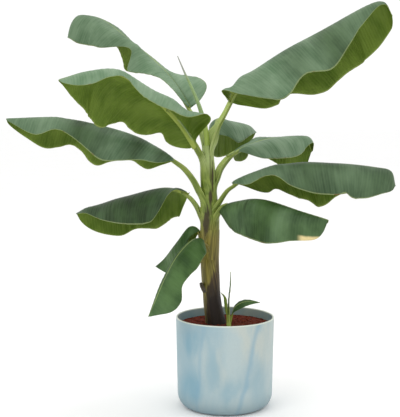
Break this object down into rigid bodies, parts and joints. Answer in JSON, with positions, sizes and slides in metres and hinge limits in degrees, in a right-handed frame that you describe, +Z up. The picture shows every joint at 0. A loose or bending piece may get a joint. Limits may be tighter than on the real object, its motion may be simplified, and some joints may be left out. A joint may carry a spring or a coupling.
{
  "type": "potted banana plant",
  "caption": "Young banana plant with a sheathed stem and broad drooping leaves on channelled stalks, growing in a round marbled pot with a small sucker.",
  "frame": {"origin": "centre of the pot's flat underside", "axes": "+Z up along the pot's axis, +X to the right and +Y to the back as the picture shows the plant"},
  "size_m": [0.8266, 0.4673, 0.8927],
  "materials": {
    "pot": "satin, marbled",
    "soil": "rough",
    "stem": "satin",
    "stalk": "satin",
    "blade": "satin",
    "new_leaf": "satin",
    "dry_stub": "rough",
    "sucker": "satin"
  },
  "bodies": {
    "root": {"pot": "pot", "soil": "soil", "stem": "stem", "stalk_top_right": "stalk", "blade_top_right": "blade", "stalk_top_left": "stalk", "blade_top_left": "blade", "stalk_upper_left": "stalk", "blade_upper_left": "blade", "stalk_back_right": "stalk", "blade_back_right": "blade", "stalk_upper_right": "stalk", "blade_upper_right": "blade", "stalk_middle_right": "stalk", "blade_middle_right": "blade", "stalk_middle_left": "stalk", "blade_middle_left": "blade", "stalk_lower_left": "stalk", "blade_lower_left": "blade", "stalk_lower_right": "stalk", "blade_lower_right": "blade", "stalk_hanging_front": "stalk", "blade_hanging_front": "blade", "stalk_hanging_back": "stalk", "blade_hanging_back": "blade", "spear_leaf": "new_leaf", "dry_stub": "dry_stub", "sucker_stem": "sucker", "sucker_leaf_upright": "sucker", "sucker_leaf_right": "sucker", "sucker_leaf_short": "sucker"}
  },
  "joints": []
}
